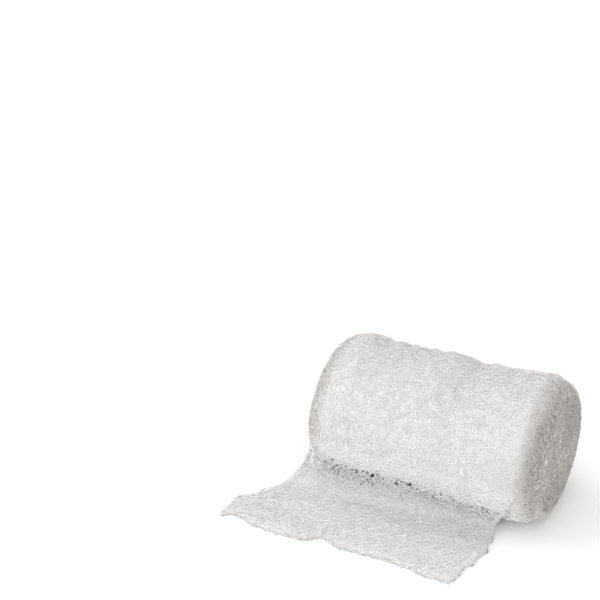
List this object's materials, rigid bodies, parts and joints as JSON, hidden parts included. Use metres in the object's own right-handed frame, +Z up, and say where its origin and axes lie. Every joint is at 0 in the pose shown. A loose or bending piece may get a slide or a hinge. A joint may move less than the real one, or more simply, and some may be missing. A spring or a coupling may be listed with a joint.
{
  "type": "gauze bandage roll",
  "caption": "Soft roll of crinkled white cotton gauze lying on its side, with the strip's loose end drawn out flat in front of it.",
  "frame": {"origin": "middle of the flat spot on which the roll rests, on the surface below it", "axes": "+X along the roll to the end that the picture shows, -Y towards the loose end, +Z up"},
  "size_m": [0.1058, 0.0834, 0.0501],
  "materials": {
    "wound_gauze": "matt bleached cotton gauze, crinkled",
    "loose_gauze": "matt bleached cotton gauze, crinkled and open"
  },
  "bodies": {
    "root": {"wound_roll": "wound_gauze", "loose_end": "loose_gauze"}
  },
  "joints": []
}
